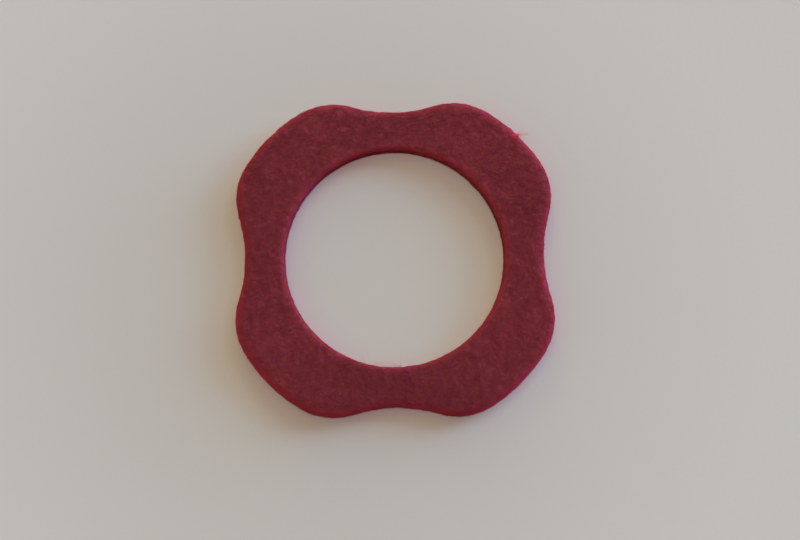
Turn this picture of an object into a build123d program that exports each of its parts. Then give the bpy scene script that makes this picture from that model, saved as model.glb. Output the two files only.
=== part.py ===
from build123d import *
import os

# Driving sizes, in millimetres
bore_diameter = 25.0
rim_width = 4.65            # felt left between the bore and the floor of a scallop
scallop_depth = 3.15        # from the circle that the lobes reach down to a scallop's floor
scallop_radius = 16.3       # hollow curve of each scallop
scallop_count = 4
lobe_shoulder_radius = 7.6  # rounded turn from a scallop onto the lobe beside it
thickness = 2.0
punch_side_rounding = 0.6   # top rims, drawn down where the die went in
die_side_ease = 0.25        # bottom rims, left almost crisp where the die came out

# Places that follow from them
bore_radius = bore_diameter / 2
waist_radius = bore_radius + rim_width
lobe_radius = waist_radius + scallop_depth
scallop_centre = waist_radius + scallop_radius
first_scallop_angle = 0     # the first scallop opens along +X, so the lobes lie on the diagonals

# The washer is one piece of felt, lying flat, with its bore along +Z and its lower face at the origin
with BuildPart() as felt_washer:
    with BuildSketch(Plane.XY) as blank:
        Circle(lobe_radius)
        with PolarLocations(scallop_centre, scallop_count, start_angle=first_scallop_angle):
            Circle(scallop_radius, mode=Mode.SUBTRACT)
        fillet(blank.vertices(), lobe_shoulder_radius)
        Circle(bore_radius, mode=Mode.SUBTRACT)
    extrude(amount=thickness)
    flat_faces = felt_washer.faces().filter_by(Axis.Z).sort_by(Axis.Z)
    die_side_rims = flat_faces[0].edges()
    punch_side_rims = flat_faces[-1].edges()
    fillet(punch_side_rims, punch_side_rounding)
    chamfer(die_side_rims, die_side_ease)

felt_washer.part.label = "felt_washer"

os.makedirs("parts", exist_ok=True)
export_step(felt_washer.part, "parts/felt_washer.step")

print(f"bore {bore_diameter:.2f}, across lobes {2 * lobe_radius:.2f}, across scallops {2 * waist_radius:.2f}")
print(f"straight wall {thickness - punch_side_rounding - die_side_ease:.2f}")
print(f"volume {felt_washer.part.volume:.1f} cubic millimetres")
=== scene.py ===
import math

import bpy
import numpy as np
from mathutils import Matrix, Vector, noise
from mathutils.bvhtree import BVHTree
from mathutils.kdtree import KDTree


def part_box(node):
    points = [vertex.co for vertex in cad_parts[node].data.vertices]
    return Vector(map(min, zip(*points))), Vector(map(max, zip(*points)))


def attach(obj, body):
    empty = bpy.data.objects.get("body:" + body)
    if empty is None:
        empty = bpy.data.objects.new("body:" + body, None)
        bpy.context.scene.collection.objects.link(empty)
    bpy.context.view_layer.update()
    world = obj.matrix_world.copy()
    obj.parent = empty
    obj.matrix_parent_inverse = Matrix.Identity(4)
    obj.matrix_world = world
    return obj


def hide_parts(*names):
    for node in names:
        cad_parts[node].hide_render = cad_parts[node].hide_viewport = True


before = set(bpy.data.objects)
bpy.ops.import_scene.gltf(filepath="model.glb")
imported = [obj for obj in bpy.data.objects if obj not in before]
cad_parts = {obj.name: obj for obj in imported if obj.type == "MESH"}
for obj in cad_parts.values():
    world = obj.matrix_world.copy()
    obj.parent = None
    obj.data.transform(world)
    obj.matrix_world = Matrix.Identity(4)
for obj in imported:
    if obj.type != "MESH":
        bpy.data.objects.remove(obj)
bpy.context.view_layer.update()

mm = 0.001
scene = bpy.context.scene
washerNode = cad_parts["felt_washer"]
washerLow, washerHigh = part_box("felt_washer")
print("frame loaded, washer", [round(x / mm, 2) for x in washerHigh - washerLow], "mm")


# The camera comes first, because the loose wisps are placed by what it sees

viewpoint = {
    "lens": 58.5,                 # mm, on Blender's 36 mm sensor
    "distance": 149.9 * mm,       # a hand-held close-up
    "aim": (0.62 * mm, -1.305 * mm, 0.25 * mm),
    "offVertical": 8.95,          # degrees, leaning back towards -Y
    "roll": 0.1,
    "turn": -0.73,                # the washer lies turned by this against the picture
    "picture": (800, 540),
}


def makeCamera():
    lens = bpy.data.cameras.new("camera")
    lens.lens = viewpoint["lens"]
    lens.sensor_width = 36
    lens.clip_start = 5 * mm
    lens.clip_end = 50
    camera = bpy.data.objects.new("camera", lens)
    scene.collection.objects.link(camera)
    camera.rotation_euler = [math.radians(viewpoint[k]) for k in ("offVertical", "roll", "turn")]
    outOfPicture = camera.rotation_euler.to_matrix() @ Vector((0, 0, 1))
    camera.location = Vector(viewpoint["aim"]) + viewpoint["distance"] * outOfPicture
    scene.camera = camera
    return camera


camera = makeCamera()


def underPixel(x, y, height):    # the point at that height that the photograph shows at pixel x, y
    wide, tall = viewpoint["picture"]
    pixel = camera.data.sensor_width / camera.data.lens / wide
    ray = camera.rotation_euler.to_matrix() @ Vector(((x - wide / 2) * pixel, (tall / 2 - y) * pixel, -1))
    return camera.location + ray * ((height - camera.location.z) / ray.z)


print("camera set")


# Small helpers for meshes and node trees

def newPiece(name, mesh):
    piece = bpy.data.objects.new(name, mesh)
    scene.collection.objects.link(piece)
    return piece


def applyModifiers(piece):
    ready = piece.evaluated_get(bpy.context.evaluated_depsgraph_get())
    mesh = bpy.data.meshes.new_from_object(ready)
    piece.modifiers.clear()
    piece.data = mesh


def readVectors(items, name):
    found = np.empty(len(items) * 3, np.float32)
    items.foreach_get(name, found)
    return found.reshape(-1, 3).astype(float)


def unit(vectors):
    return vectors / np.maximum(np.linalg.norm(vectors, axis=-1, keepdims=True), 1e-12)


# The felt itself: the cut blank, remeshed evenly, with its lumps and hollows pressed in

feltRelief = {
    "meshStep": 0.145 * mm, "softening": 0.5, "softenings": 2,
    "lumpEvery": 3.2 * mm, "lumpHeight": 0.035 * mm,
    "tuftEvery": 0.85 * mm, "tuftHeight": 0.045 * mm,
    "grainEvery": 0.36 * mm, "grainHeight": 0.02 * mm,
    "underShare": 0.4,            # the face that it lies on is pressed flatter
    "wallReach": 0.06 * mm,       # how far in from the wall its duller colour and painted fill light fade
    "footHeight": 0.3 * mm,       # how high up the wall the settled wool starts
    "ringMiddle": 14.8 * mm,      # radius that parts the bore's edge from the outer one
    "cloudEvery": 16 * mm, "cloudSpread": 0.7,
    "cloudPlace": (34.2, 0.7, 38.3),    # where in the noise its pale and dark areas come from; they hold the wool's own tone and painted light and shade across the face
    "wallTilt": 0.3,              # a normal that rises by less belongs to the cut wall
    "faceTilt": 0.98,             # and one that rises by more to a flat face
    "underTilt": -0.5,            # one that falls by more belongs to the lower side
}

edgeRelief = {    # each value for the bore's edge, then for the outer one
    "napRoom": (0.18 * mm, 0.06 * mm),       # the wall stands back by this, because its nap reaches out again
    "drawnDepth": (0.07 * mm, 0.28 * mm),    # how far the die drew the upper face down beside its cut
    "drawnReach": (0.9 * mm, 1.3 * mm),
    "rimHighlightReach": (0.27 * mm, 0.33 * mm),      # how far in from the cut the painted rim highlight fades
    "wallDullnessAndFill": (1.0, 0.5),              # how fully the wall takes its duller colour and painted fill light, most at the bore whose walls stand in shade
    "footSpread": (0.16 * mm, 0.14 * mm),    # how far the lower rim's wool settles out over its eased edge
}


def edgeValue(name, places):
    atBore = np.hypot(places[:, 0], places[:, 1]) < feltRelief["ringMiddle"]
    return np.where(atBore, *edgeRelief[name])


def reliefAt(place):
    lump = noise.noise(place / feltRelief["lumpEvery"])
    tuft = noise.noise(place / feltRelief["tuftEvery"] + Vector((7, 3, 1)))
    grain = noise.noise(place / feltRelief["grainEvery"] + Vector((2, 9, 4)))
    return (lump * feltRelief["lumpHeight"] + tuft * feltRelief["tuftHeight"]
            + grain * feltRelief["grainHeight"])


def fromTheCut(places, cutLine):    # distance in plan from the nearest cut wall
    return np.array([cutLine.find((x, y, 0))[2] for x, y, _ in places])


def keepValue(mesh, name, values):
    mesh.attributes.new(name, "FLOAT", "POINT").data.foreach_set("value", values.astype(np.float32))


middlingPalenessAndLight = 0.5


def keepShades(mesh, cutLine):    # for each point, its shares of the painted rim highlight and of the wall's duller colour with painted fill light, and its paleness, which also paints light and shade
    places = readVectors(mesh.vertices, "co")
    distance = fromTheCut(places, cutLine)
    # painted rim highlight, strongest at the cut
    keepValue(mesh, "rimHighlightShare", np.exp(-distance / edgeValue("rimHighlightReach", places)))
    # the wall's duller colour with painted fill light
    onWall = np.exp(-distance / feltRelief["wallReach"])
    keepValue(mesh, "wallToneAndFillShare", edgeValue("wallDullnessAndFill", places) * onWall)
    cloudPlace = Vector(feltRelief["cloudPlace"])
    # paleness: the wool's own tone, and painted light and shade across the face
    clouds = [noise.noise(Vector((x, y, 0)) / feltRelief["cloudEvery"] + cloudPlace) for x, y, _ in places]
    keepValue(mesh, "palenessAndLight", np.array(clouds) * feltRelief["cloudSpread"] + middlingPalenessAndLight)


def makeFeltBody():
    body = newPiece("feltBody", washerNode.data.copy())
    even = body.modifiers.new("evenMesh", "REMESH")
    even.mode = "VOXEL"
    even.voxel_size = feltRelief["meshStep"]
    even.use_smooth_shade = True
    soften = body.modifiers.new("soften", "SMOOTH")
    soften.factor = feltRelief["softening"]
    soften.iterations = feltRelief["softenings"]
    applyModifiers(body)
    mesh = body.data
    places = readVectors(mesh.vertices, "co")
    normals = readVectors(mesh.vertices, "normal")
    uprightness = np.abs(normals[:, 2])
    onWall = places[uprightness < feltRelief["wallTilt"]]
    cutLine = KDTree(len(onWall))
    for index, (x, y, _) in enumerate(onWall):
        cutLine.insert((x, y, 0), index)
    cutLine.balance()
    inward = np.clip(1 - fromTheCut(places, cutLine) / edgeValue("drawnReach", places), 0, 1)
    drawn = edgeValue("drawnDepth", places) * inward ** 2
    upperShare = np.clip(places[:, 2] / washerHigh.z * 2 - 1, 0, 1)
    rise = np.array([reliefAt(Vector(p)) for p in places])
    rise = np.where(normals[:, 2] < feltRelief["underTilt"], rise * feltRelief["underShare"], rise)
    rise -= edgeValue("napRoom", places) * (1 - uprightness)
    footShare = np.clip(1 - places[:, 2] / feltRelief["footHeight"], 0, 1) ** 2
    spread = edgeValue("footSpread", places) * footShare * (uprightness < feltRelief["faceTilt"])
    outward = unit(normals * (1, 1, 0))
    places += normals * rise[:, None] + outward * spread[:, None]
    places[:, 2] -= drawn * upperShare
    places[:, 2] = np.maximum(places[:, 2], 0)
    mesh.vertices.foreach_set("co", places.astype(np.float32).ravel())
    mesh.update()
    keepShades(mesh, cutLine)
    print("felt body", len(mesh.polygons), "faces")
    return body, cutLine


feltBody, cutLine = makeFeltBody()


# Wool fibres: each one is a thin tapered tube that creeps over the felt and rises from it a little

def surfaceSamples(body, rng, howMany, lowest, highest):    # on faces that look up by lowest to highest
    mesh = body.data
    mesh.calc_loop_triangles()
    corners = np.empty(len(mesh.loop_triangles) * 3, np.int32)
    mesh.loop_triangles.foreach_get("vertices", corners)
    corners = readVectors(mesh.vertices, "co")[corners.reshape(-1, 3)]
    across = np.cross(corners[:, 1] - corners[:, 0], corners[:, 2] - corners[:, 0])
    area = np.linalg.norm(across, axis=1)
    facing = across[:, 2] / np.maximum(area, 1e-18)
    area = area * ((facing >= lowest) & (facing <= highest))
    chosen = rng.choice(len(area), howMany, p=area / area.sum())
    share = rng.dirichlet((1, 1, 1), howMany)
    return (corners[chosen] * share[:, :, None]).sum(1), unit(across[chosen])


def nearestOn(surface, places):
    found = [surface.find_nearest(Vector(p))[:2] for p in places]
    return np.array([f[0] for f in found]), np.array([f[1] for f in found])


def turned(vectors, axes, angles):    # Rodrigues' rotation, for vectors at right angles to their axes
    angles = angles[:, None]
    return vectors * np.cos(angles) + np.cross(axes, vectors) * np.sin(angles)


def fibrePaths(surface, rng, places, normals, kind):
    count, points = len(places), kind["points"]
    along = np.linspace(0, 1, points)
    length = rng.uniform(*kind["length"], count)
    rise = rng.uniform(*kind["rise"], count)[:, None]
    if kind["looseEnd"]:
        height = rise * along[None, :] ** 1.4 - kind["sunk"]
    else:
        height = rise * np.sin(math.pi * along)[None, :] - kind["sunk"]
    bend = rng.normal(0, kind["bend"], (count, 1)) / points
    crimp = kind["crimp"] * np.sin(2 * math.pi * (along * kind["waves"] + rng.uniform(0, 1, (count, 1))))
    way = unit(np.cross(normals, unit(rng.normal(size=(count, 3)))))
    paths = np.empty((count, points, 3))
    for step in range(points):
        paths[:, step] = places + normals * height[:, step, None]
        way = turned(way, normals, bend[:, 0] + crimp[:, step])
        places, normals = nearestOn(surface, places + way * (length / (points - 1))[:, None])
        way = unit(way - normals * (way * normals).sum(1, keepdims=True))
    return paths


tubeSides = 3


def fibreMesh(name, paths, thickness, rng, tipShare):
    count, points = paths.shape[:2]
    ways = unit(np.gradient(paths, axis=1))
    side = unit(np.cross(ways[:, 0], unit(rng.normal(size=(count, 3)))))
    along = np.linspace(-1, 1, points)
    taper = 1 - (1 - tipShare) * np.abs(along) ** 3
    radius = rng.uniform(*thickness, (count, 1)) / 2 * taper[None, :]
    rings = np.empty((count, points, tubeSides, 3))
    for step in range(points):
        way = ways[:, step]
        side = unit(side - way * (side * way).sum(1, keepdims=True))
        other = np.cross(way, side)
        for corner in range(tubeSides):
            angle = corner * 2 * math.pi / tubeSides
            outward = side * math.cos(angle) + other * math.sin(angle)
            rings[:, step, corner] = paths[:, step] + outward * radius[:, step, None]
    rings[..., 2] = np.maximum(rings[..., 2], 0)
    start = np.arange(count) * points * tubeSides
    ring = start[:, None, None] + np.arange(points - 1)[None, :, None] * tubeSides
    corner = np.arange(tubeSides)[None, None, :]
    following = (corner + 1) % tubeSides
    quads = np.stack([ring + corner, ring + following,
                      ring + following + tubeSides, ring + corner + tubeSides], -1).reshape(-1, 4)
    firstCap = start[:, None] + np.arange(tubeSides)[::-1]
    lastCap = start[:, None] + np.arange(tubeSides) + (points - 1) * tubeSides
    caps = np.concatenate([firstCap, lastCap])
    mesh = bpy.data.meshes.new(name)
    mesh.from_pydata(rings.reshape(-1, 3).tolist(), [], quads.tolist() + caps.tolist())
    mesh.polygons.foreach_set("use_smooth", np.ones(len(mesh.polygons), bool))
    keepValue(mesh, "tone", np.repeat(rng.uniform(0, 1, count), points * tubeSides))
    return mesh


fibreKinds = {
    "napUpperOne": {
        "seed": 11, "howMany": 6000, "lowest": 0.75, "highest": 1.0, "points": 6, "looseEnd": False,
        "length": (0.9 * mm, 2.2 * mm), "rise": (0.0 * mm, 0.09 * mm), "sunk": 0.006 * mm,
        "bend": 1.6, "crimp": 0.16, "waves": 1.4, "thickness": (0.018 * mm, 0.034 * mm), "tipShare": 0.4,
    },
    "napUpperTwo": {
        "seed": 12, "howMany": 6000, "lowest": 0.75, "highest": 1.0, "points": 6, "looseEnd": False,
        "length": (0.9 * mm, 2.2 * mm), "rise": (0.0 * mm, 0.09 * mm), "sunk": 0.006 * mm,
        "bend": 1.6, "crimp": 0.16, "waves": 1.4, "thickness": (0.018 * mm, 0.034 * mm), "tipShare": 0.4,
    },
    "napEdges": {
        "seed": 13, "howMany": 5200, "lowest": -0.75, "highest": 0.75, "points": 6, "looseEnd": False,
        "length": (0.5 * mm, 1.5 * mm), "rise": (0.0 * mm, 0.1 * mm), "sunk": 0.006 * mm,
        "bend": 1.8, "crimp": 0.2, "waves": 1.4, "thickness": (0.018 * mm, 0.032 * mm), "tipShare": 0.4,
    },
    "fuzzEdges": {
        "seed": 14, "howMany": 2600, "lowest": -0.75, "highest": 0.8, "points": 6, "looseEnd": True,
        "length": (0.25 * mm, 0.8 * mm), "rise": (0.02 * mm, 0.22 * mm), "sunk": 0.02 * mm,
        "bend": 1.6, "crimp": 0.2, "waves": 1.0, "thickness": (0.012 * mm, 0.024 * mm), "tipShare": 0.3,
    },
    "fuzzUpper": {
        "seed": 15, "howMany": 1500, "lowest": 0.75, "highest": 1.0, "points": 6, "looseEnd": True,
        "length": (0.4 * mm, 1.2 * mm), "rise": (0.05 * mm, 0.3 * mm), "sunk": 0.02 * mm,
        "bend": 1.6, "crimp": 0.2, "waves": 1.0, "thickness": (0.012 * mm, 0.022 * mm), "tipShare": 0.3,
    },
    "napUnder": {
        "seed": 16, "howMany": 1800, "lowest": -1.0, "highest": -0.75, "points": 6, "looseEnd": False,
        "length": (0.9 * mm, 2.2 * mm), "rise": (0.0 * mm, 0.04 * mm), "sunk": 0.004 * mm,
        "bend": 1.6, "crimp": 0.16, "waves": 1.4, "thickness": (0.018 * mm, 0.034 * mm), "tipShare": 0.4,
    },
}


def makeFibres(name, kind, body, surface):
    rng = np.random.default_rng(kind["seed"])
    places, normals = surfaceSamples(body, rng, kind["howMany"], kind["lowest"], kind["highest"])
    paths = fibrePaths(surface, rng, places, normals, kind)
    mesh = fibreMesh(name, paths, kind["thickness"], rng, kind["tipShare"])
    keepShades(mesh, cutLine)
    print(name, kind["howMany"], "fibres")
    return newPiece(name, mesh)


feltSurface = BVHTree.FromObject(feltBody, bpy.context.evaluated_depsgraph_get())
fibrePieces = [makeFibres(name, kind, feltBody, feltSurface) for name, kind in fibreKinds.items()]


# Wisps that the die left hanging: each strand strays from the felt to where the photograph shows its end

wispKinds = {
    "rimClump": {
        "seed": 33, "points": 9, "thickness": (0.016 * mm, 0.026 * mm), "tipShare": 0.4, "curl": 0.12 * mm,
        "strands": [    # how many, from pixel, height, to pixel, height, spread at each end
            (60, (512.0, 137.5), 1.95 * mm, (516.8, 136.0), 1.9 * mm, 0.36 * mm, 0.26 * mm),
            (30, (514.0, 136.8), 1.8 * mm, (518.8, 135.4), 1.6 * mm, 0.22 * mm, 0.34 * mm),
        ],
    },
    "outerTuft": {
        "seed": 31, "points": 9, "thickness": (0.012 * mm, 0.022 * mm), "tipShare": 0.4, "curl": 0.10 * mm,
        "strands": [
            (8, (515.5, 135.5), 1.6 * mm, (522.0, 133.0), 1.3 * mm, 0.30 * mm, 0.60 * mm),
            (10, (516.5, 136.5), 1.3 * mm, (524.5, 136.0), 0.8 * mm, 0.30 * mm, 0.80 * mm),
            (4, (516.0, 136.0), 1.1 * mm, (530.0, 132.0), 0.6 * mm, 0.20 * mm, 0.60 * mm),
        ],
    },
    "boreWisps": {
        "seed": 32, "points": 9, "thickness": (0.012 * mm, 0.020 * mm), "tipShare": 0.4, "curl": 0.08 * mm,
        "strands": [
            (3, (360.0, 366.5), 1.5 * mm, (384.0, 361.5), 1.5 * mm, 0.22 * mm, 0.50 * mm),
            (7, (378.0, 368.0), 1.5 * mm, (394.0, 361.5), 1.4 * mm, 0.24 * mm, 0.60 * mm),
            (3, (370.0, 367.5), 1.4 * mm, (357.0, 354.0), 1.2 * mm, 0.30 * mm, 0.60 * mm),
            (6, (400.5, 367.5), 1.6 * mm, (399.5, 362.8), 1.6 * mm, 0.20 * mm, 0.26 * mm),
            (5, (402.0, 366.8), 1.6 * mm, (391.0, 363.5), 1.5 * mm, 0.14 * mm, 0.24 * mm),
            (1, (402.0, 367.0), 1.6 * mm, (402.5, 352.0), 1.7 * mm, 0.03 * mm, 0.03 * mm),
        ],
    },
}


curlWaves = 3    # each strand curls in this many waves, one finer than the other


def wispPaths(kind, rng):
    along = np.linspace(0, 1, kind["points"])[None, :, None]
    paths = []
    for howMany, start, low, end, high, near, far in kind["strands"]:
        first = np.array(underPixel(*start, low)) + rng.normal(0, near / 2, (howMany, 3))
        last = np.array(underPixel(*end, high)) + rng.normal(0, far / 2, (howMany, 3))
        waves = rng.normal(0, kind["curl"], (howMany, curlWaves, 3))
        path = first[:, None, :] + (last - first)[:, None, :] * along
        for wave in range(curlWaves):
            path += waves[:, wave, None, :] * np.sin(math.pi * (wave + 1) * along) / (wave + 1)
        paths.append(path)
    return np.concatenate(paths)


def makeWisps(name, kind):
    rng = np.random.default_rng(kind["seed"])
    paths = wispPaths(kind, rng)
    mesh = fibreMesh(name, paths, kind["thickness"], rng, kind["tipShare"])
    # the painted rim highlight covers each strand all along
    keepValue(mesh, "rimHighlightShare", np.ones(len(mesh.vertices)))
    keepValue(mesh, "palenessAndLight", np.full(len(mesh.vertices), middlingPalenessAndLight))
    print(name, len(paths), "strands")
    return newPiece(name, mesh)


wispPieces = [makeWisps(name, kind) for name, kind in wispKinds.items()]


# Finishes

feltColours = {
    "deep": (0.1405, 0.0199, 0.0267, 1),
    "middle": (0.1695, 0.0246, 0.0328, 1),
    "bright": (0.198, 0.0302, 0.0398, 1),
    "browner": (1.0, 1.11, 0.93, 1),      # wool varies a little either way from the dyed colour
    "bluer": (1.0, 0.90, 1.08, 1),
    "pitShade": (0.84, 0.80, 0.82, 1),      # painted shade of small hollows between the clumps
    # darker and paler areas: the wool's own tone, and painted light and shade across the face
    "darkAndShadedAreas": (0.87, 0.87, 0.88, 1),
    "paleAndLitAreas": (1.13, 1.13, 1.12, 1),
    "rimHighlight": (2.25, 0.84, 1.32, 1),  # painted rim highlight: wool by the cut is brightened for the light its rounded rim catches and scatters
    "wallToneAndFill": (1.4, 2.4, 2.1, 1),      # the cut wall is duller, and paler with painted fill light where it stands in shade
    "inAClump": (1.9, 2.6, 2.5, 1),       # light passes through strands that the felt doesn't back
    "standingAlone": (1.8, 9.0, 5.0, 1),
}

feltPattern = {    # sizes are noise scales in a metre, and places are along the noise from 0 to 1
    "patchScale": 900, "patchDetail": 3,
    "swirlScale": 420, "swirlDetail": 1, "swirlTurn": 4 * math.pi,
    "streakScale": 2600, "streakDetail": 4, "streakRoughness": 0.6, "streakStretch": (1, 0.22, 0.5),
    "streakShare": 0.5,
    "deepAt": 0.30, "middleAt": 0.5, "brightAt": 0.72,
    "driftScale": 1500, "driftDetail": 2, "brownerAt": 0.35, "bluerAt": 0.65,
    "pitScale": 2300, "pitDetail": 1, "pitsFrom": 0.62, "pitsDeepest": 0.74,
    "darkestFibre": -0.09, "brightestFibre": 0.15,
    "feltBump": 0.05 * mm,
}


def newSocket(group, name, kind, isInput, value=None):
    socket = group.interface.new_socket(
        name=name, in_out="INPUT" if isInput else "OUTPUT", socket_type="NodeSocket" + kind)
    if value is not None:
        socket.default_value = value


def linkAll(tree, pairs):
    for source, target in pairs:
        tree.links.new(source, target)


def feltHeatherGroup():    # how dyed wool varies: soft patches, and short streaks that swirl; it also paints shade in pits, light and shade across the face, a rim highlight and fill light on the cut wall
    group = bpy.data.node_groups.new("feltHeather", "ShaderNodeTree")
    newSocket(group, "Place", "Vector", True)
    newSocket(group, "Patch Scale", "Float", True, feltPattern["patchScale"])
    newSocket(group, "Streak Scale", "Float", True, feltPattern["streakScale"])
    newSocket(group, "Tone Shift", "Float", True, 0)
    newSocket(group, "Rim Highlight Share", "Float", True, 0)
    newSocket(group, "Wall Tone And Fill", "Float", True, 0)
    newSocket(group, "Paleness And Light", "Float", True, 0.5)
    newSocket(group, "Colour", "Color", False)
    newSocket(group, "Streaks", "Float", False)
    nodes = group.nodes
    given, made = nodes.new("NodeGroupInput"), nodes.new("NodeGroupOutput")
    patches = nodes.new("ShaderNodeTexNoise")
    patches.inputs["Detail"].default_value = feltPattern["patchDetail"]
    swirl = nodes.new("ShaderNodeTexNoise")
    swirl.inputs["Scale"].default_value = feltPattern["swirlScale"]
    swirl.inputs["Detail"].default_value = feltPattern["swirlDetail"]
    angle = nodes.new("ShaderNodeMath")
    angle.operation = "MULTIPLY"
    angle.inputs[1].default_value = feltPattern["swirlTurn"]
    turn = nodes.new("ShaderNodeVectorRotate")
    turn.rotation_type = "Z_AXIS"
    stretch = nodes.new("ShaderNodeMapping")
    stretch.inputs["Scale"].default_value = feltPattern["streakStretch"]
    streaks = nodes.new("ShaderNodeTexNoise")
    streaks.inputs["Detail"].default_value = feltPattern["streakDetail"]
    streaks.inputs["Roughness"].default_value = feltPattern["streakRoughness"]
    blend = nodes.new("ShaderNodeMix")
    blend.inputs["Factor"].default_value = feltPattern["streakShare"]
    shifted = nodes.new("ShaderNodeMath")
    shifted.operation = "ADD"
    ramp = nodes.new("ShaderNodeValToRGB")
    ramp.color_ramp.elements[0].position = feltPattern["deepAt"]
    ramp.color_ramp.elements[0].color = feltColours["deep"]
    ramp.color_ramp.elements[1].position = feltPattern["brightAt"]
    ramp.color_ramp.elements[1].color = feltColours["bright"]
    ramp.color_ramp.elements.new(feltPattern["middleAt"]).color = feltColours["middle"]
    drift = nodes.new("ShaderNodeTexNoise")
    drift.inputs["Scale"].default_value = feltPattern["driftScale"]
    drift.inputs["Detail"].default_value = feltPattern["driftDetail"]
    hue = nodes.new("ShaderNodeValToRGB")
    hue.color_ramp.elements[0].position = feltPattern["brownerAt"]
    hue.color_ramp.elements[0].color = feltColours["browner"]
    hue.color_ramp.elements[1].position = feltPattern["bluerAt"]
    hue.color_ramp.elements[1].color = feltColours["bluer"]
    tinted = nodes.new("ShaderNodeMix")
    tinted.data_type = "RGBA"
    tinted.blend_type = "MULTIPLY"
    tinted.inputs["Factor"].default_value = 1
    # painted shade of small hollows, where the pit noise runs high
    pits = nodes.new("ShaderNodeTexNoise")
    pits.inputs["Scale"].default_value = feltPattern["pitScale"]
    pits.inputs["Detail"].default_value = feltPattern["pitDetail"]
    pitShadeShare = nodes.new("ShaderNodeMapRange")
    pitShadeShare.interpolation_type = "SMOOTHSTEP"
    pitShadeShare.inputs["From Min"].default_value = feltPattern["pitsFrom"]
    pitShadeShare.inputs["From Max"].default_value = feltPattern["pitsDeepest"]
    pitShaded = nodes.new("ShaderNodeMix")
    pitShaded.data_type = "RGBA"
    pitShaded.blend_type = "MULTIPLY"
    pitShaded.inputs["B"].default_value = feltColours["pitShade"]
    areas = nodes.new("ShaderNodeMix")
    areas.data_type = "RGBA"
    areas.inputs["A"].default_value = feltColours["darkAndShadedAreas"]
    areas.inputs["B"].default_value = feltColours["paleAndLitAreas"]
    shaded = nodes.new("ShaderNodeMix")
    shaded.data_type = "RGBA"
    shaded.blend_type = "MULTIPLY"
    shaded.inputs["Factor"].default_value = 1
    # painted rim highlight near the cut
    rimHighlighted = nodes.new("ShaderNodeMix")
    rimHighlighted.data_type = "RGBA"
    rimHighlighted.blend_type = "MULTIPLY"
    rimHighlighted.inputs["B"].default_value = feltColours["rimHighlight"]
    # duller cut wall, lifted with painted fill light
    wallToneAndFilled = nodes.new("ShaderNodeMix")
    wallToneAndFilled.data_type = "RGBA"
    wallToneAndFilled.blend_type = "MULTIPLY"
    wallToneAndFilled.inputs["B"].default_value = feltColours["wallToneAndFill"]
    linkAll(group, [
        (given.outputs["Place"], patches.inputs["Vector"]),
        (given.outputs["Patch Scale"], patches.inputs["Scale"]),
        (given.outputs["Place"], swirl.inputs["Vector"]),
        (swirl.outputs["Fac"], angle.inputs[0]),
        (given.outputs["Place"], turn.inputs["Vector"]),
        (angle.outputs["Value"], turn.inputs["Angle"]),
        (turn.outputs["Vector"], stretch.inputs["Vector"]),
        (stretch.outputs["Vector"], streaks.inputs["Vector"]),
        (given.outputs["Streak Scale"], streaks.inputs["Scale"]),
        (patches.outputs["Fac"], blend.inputs["A"]),
        (streaks.outputs["Fac"], blend.inputs["B"]),
        (blend.outputs["Result"], shifted.inputs[0]),
        (given.outputs["Tone Shift"], shifted.inputs[1]),
        (shifted.outputs["Value"], ramp.inputs["Fac"]),
        (given.outputs["Place"], drift.inputs["Vector"]),
        (drift.outputs["Fac"], hue.inputs["Fac"]),
        (ramp.outputs["Color"], tinted.inputs["A"]),
        (hue.outputs["Color"], tinted.inputs["B"]),
        (given.outputs["Rim Highlight Share"], rimHighlighted.inputs["Factor"]),
        (given.outputs["Place"], pits.inputs["Vector"]),
        (pits.outputs["Fac"], pitShadeShare.inputs["Value"]),
        (pitShadeShare.outputs["Result"], pitShaded.inputs["Factor"]),
        (tinted.outputs["Result"], pitShaded.inputs["A"]),
        (given.outputs["Paleness And Light"], areas.inputs["Factor"]),
        (pitShaded.outputs["Result"], shaded.inputs["A"]),
        (areas.outputs["Result"], shaded.inputs["B"]),
        (shaded.outputs["Result"], rimHighlighted.inputs["A"]),
        (given.outputs["Wall Tone And Fill"], wallToneAndFilled.inputs["Factor"]),
        (rimHighlighted.outputs["Result"], wallToneAndFilled.inputs["A"]),
        (wallToneAndFilled.outputs["Result"], made.inputs["Colour"]),
        (streaks.outputs["Fac"], made.inputs["Streaks"]),
    ])
    return group


feltHeather = feltHeatherGroup()

woolFinish = {
    "roughness": 0.92, "specular": 0.12,
    "sheen": 0.28, "sheenRoughness": 0.55, "sheenTint": (0.85, 0.10, 0.17, 1),
}


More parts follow.
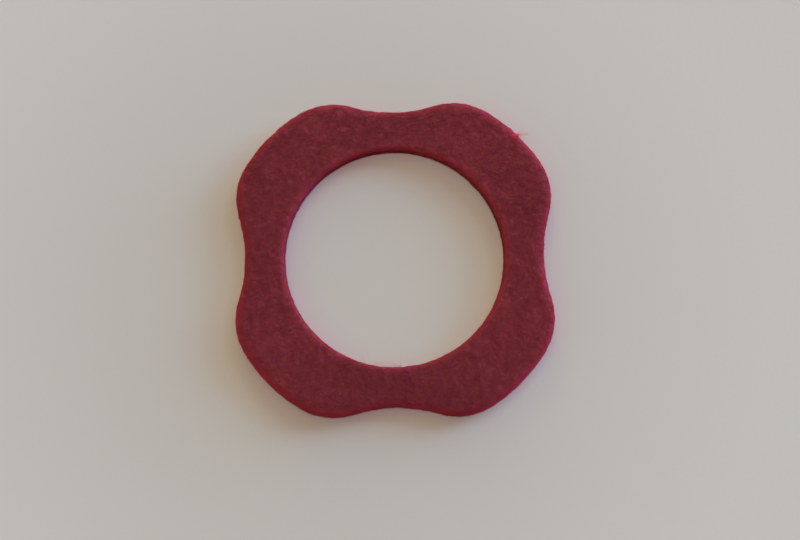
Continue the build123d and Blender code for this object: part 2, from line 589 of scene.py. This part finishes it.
def woolMaterial(name, bumpHeight=0, strength=(1, 1, 1, 1)):
    material = bpy.data.materials.new(name)
    material.use_nodes = True
    nodes, tree = material.node_tree.nodes, material.node_tree
    shader = nodes["Principled BSDF"]
    shader.inputs["Roughness"].default_value = woolFinish["roughness"]
    shader.inputs["Specular IOR Level"].default_value = woolFinish["specular"]
    shader.inputs["Sheen Weight"].default_value = woolFinish["sheen"]
    shader.inputs["Sheen Roughness"].default_value = woolFinish["sheenRoughness"]
    shader.inputs["Sheen Tint"].default_value = woolFinish["sheenTint"]
    place = nodes.new("ShaderNodeTexCoord")
    heather = nodes.new("ShaderNodeGroup")
    heather.node_tree = feltHeather
    heather.inputs["Patch Scale"].default_value = feltPattern["patchScale"]
    heather.inputs["Streak Scale"].default_value = feltPattern["streakScale"]
    cut = nodes.new("ShaderNodeAttribute")
    cut.attribute_name = "rimHighlightShare"
    wall = nodes.new("ShaderNodeAttribute")
    wall.attribute_name = "wallToneAndFillShare"
    pale = nodes.new("ShaderNodeAttribute")
    pale.attribute_name = "palenessAndLight"
    stronger = nodes.new("ShaderNodeMix")
    stronger.data_type = "RGBA"
    stronger.blend_type = "MULTIPLY"
    stronger.inputs["Factor"].default_value = 1
    stronger.inputs["B"].default_value = strength
    linkAll(tree, [
        (place.outputs["Object"], heather.inputs["Place"]),
        (cut.outputs["Fac"], heather.inputs["Rim Highlight Share"]),
        (wall.outputs["Fac"], heather.inputs["Wall Tone And Fill"]),
        (pale.outputs["Fac"], heather.inputs["Paleness And Light"]),
        (heather.outputs["Colour"], stronger.inputs["A"]),
        (stronger.outputs["Result"], shader.inputs["Base Color"]),
    ])
    if bumpHeight:
        bump = nodes.new("ShaderNodeBump")
        bump.inputs["Distance"].default_value = bumpHeight
        linkAll(tree, [
            (heather.outputs["Streaks"], bump.inputs["Height"]),
            (bump.outputs["Normal"], shader.inputs["Normal"]),
        ])
    else:
        tone = nodes.new("ShaderNodeAttribute")
        tone.attribute_name = "tone"
        spread = nodes.new("ShaderNodeMapRange")
        spread.inputs["To Min"].default_value = feltPattern["darkestFibre"]
        spread.inputs["To Max"].default_value = feltPattern["brightestFibre"]
        linkAll(tree, [
            (tone.outputs["Fac"], spread.inputs["Value"]),
            (spread.outputs["Result"], heather.inputs["Tone Shift"]),
        ])
    return material


pressedFelt = woolMaterial("pressedFelt", bumpHeight=feltPattern["feltBump"])
woolFibre = woolMaterial("woolFibre")
clumpedStrand = woolMaterial("clumpedStrand", strength=feltColours["inAClump"])
strayStrand = woolMaterial("strayStrand", strength=feltColours["standingAlone"])

feltBody.data.materials.clear()
feltBody.data.materials.append(pressedFelt)
rimClump, *strayWisps = wispPieces
for piece in fibrePieces:
    piece.data.materials.append(woolFibre)
rimClump.data.materials.append(clumpedStrand)
for piece in strayWisps:
    piece.data.materials.append(strayStrand)
print("finishes made")


# Floor, light and backdrop

studio = {
    "floorReach": 3.0, "floorRoughness": 0.9,
    "floorShadedNear": (0.463, 0.438, 0.404, 1),     # painted shade: the floor is darker in the middle of the picture
    "floorFar": (0.522, 0.504, 0.480, 1),
    "floorMiddle": (-8 * mm, -4 * mm, 0), "floorPaleFrom": 17 * mm, "floorPaleAt": 54 * mm,
    "roomColour": (1.0, 1.0, 1.0), "roomStrength": 0.077,
}

lamps = {    # where each light comes from, round from +X and up, in degrees; its colour, strength and width
    "ceiling": {"round": 0, "up": 90, "colour": (1.0, 0.534, 0.646), "strength": 1.459, "width": 10},
    "windowHigh": {"round": 90, "up": 50, "colour": (1.0, 0.877, 0.395), "strength": 0.648, "width": 50},
    "windowWide": {"round": 50, "up": 24, "colour": (0.434, 0.682, 1.0), "strength": 2.0, "width": 40},
    "windowSky": {"round": 25, "up": 13, "colour": (0.307, 0.644, 1.0), "strength": 3.55, "width": 24},
    "doorway": {"round": 100, "up": 13, "colour": (1.0, 0.968, 0.216), "strength": 0.873, "width": 24},
    "farWall": {"round": 190, "up": 40, "colour": (0.342, 1.0, 0.315), "strength": 0.657, "width": 70},
}


def makeFloor():
    reach = studio["floorReach"]
    mesh = bpy.data.meshes.new("floor")
    mesh.from_pydata([(-reach, -reach, 0), (reach, -reach, 0), (reach, reach, 0), (-reach, reach, 0)], [],
                     [(0, 1, 2, 3)])
    floor = newPiece("floor", mesh)
    material = bpy.data.materials.new("paleFloor")
    material.use_nodes = True
    nodes, tree = material.node_tree.nodes, material.node_tree
    shader = nodes["Principled BSDF"]
    shader.inputs["Roughness"].default_value = studio["floorRoughness"]
    shader.inputs["Specular IOR Level"].default_value = 0
    place = nodes.new("ShaderNodeTexCoord")
    away = nodes.new("ShaderNodeVectorMath")
    away.operation = "DISTANCE"
    away.inputs[1].default_value = studio["floorMiddle"]
    # painted shade: the floor pales outward from its darker middle
    paler = nodes.new("ShaderNodeMapRange")
    paler.interpolation_type = "SMOOTHSTEP"
    paler.inputs["From Min"].default_value = studio["floorPaleFrom"]
    paler.inputs["From Max"].default_value = studio["floorPaleAt"]
    tone = nodes.new("ShaderNodeMix")
    tone.data_type = "RGBA"
    tone.inputs["A"].default_value = studio["floorShadedNear"]
    tone.inputs["B"].default_value = studio["floorFar"]
    linkAll(tree, [
        (place.outputs["Object"], away.inputs[0]),
        (away.outputs["Value"], paler.inputs["Value"]),
        (paler.outputs["Result"], tone.inputs["Factor"]),
        (tone.outputs["Result"], shader.inputs["Base Color"]),
    ])
    mesh.materials.append(material)
    return floor


def makeLamp(name, lamp):
    light = bpy.data.lights.new(name, "SUN")
    light.color = lamp["colour"]
    light.energy = lamp["strength"]
    light.angle = math.radians(lamp["width"])
    piece = newPiece(name, light)
    across, up = math.radians(lamp["round"]), math.radians(lamp["up"])
    comesFrom = Vector((math.cos(across) * math.cos(up), math.sin(across) * math.cos(up), math.sin(up)))
    piece.rotation_euler = comesFrom.to_track_quat("Z", "Y").to_euler()


def makeWorld():
    world = bpy.data.worlds.new("softRoom")
    scene.world = world
    world.use_nodes = True
    nodes, tree = world.node_tree.nodes, world.node_tree
    room = nodes["Background"]
    room.inputs["Color"].default_value = (*studio["roomColour"], 1)
    room.inputs["Strength"].default_value = studio["roomStrength"]
    backdrop = nodes.new("ShaderNodeBackground")
    backdrop.inputs["Color"].default_value = studio["floorFar"]
    backdrop.inputs["Strength"].default_value = 1
    rays = nodes.new("ShaderNodeLightPath")
    seenOrGlossy = nodes.new("ShaderNodeMath")
    seenOrGlossy.operation = "ADD"
    seenOrGlossy.use_clamp = True
    orThrough = nodes.new("ShaderNodeMath")
    orThrough.operation = "ADD"
    orThrough.use_clamp = True
    choose = nodes.new("ShaderNodeMixShader")
    linkAll(tree, [
        (rays.outputs["Is Camera Ray"], seenOrGlossy.inputs[0]),
        (rays.outputs["Is Glossy Ray"], seenOrGlossy.inputs[1]),
        (seenOrGlossy.outputs["Value"], orThrough.inputs[0]),
        (rays.outputs["Is Transmission Ray"], orThrough.inputs[1]),
        (orThrough.outputs["Value"], choose.inputs["Fac"]),
        (room.outputs["Background"], choose.inputs[1]),
        (backdrop.outputs["Background"], choose.inputs[2]),
        (choose.outputs["Shader"], nodes["World Output"].inputs["Surface"]),
    ])


floor = makeFloor()
for name, lamp in lamps.items():
    makeLamp(name, lamp)
makeWorld()
scene.view_settings.view_transform = "Standard"
print("floor and light set")


# Everything rides on the one body, and the felt stands for the plain washer

for piece in [feltBody, *fibrePieces, *wispPieces]:
    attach(piece, "root")
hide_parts("felt_washer")

print("piece table ready")
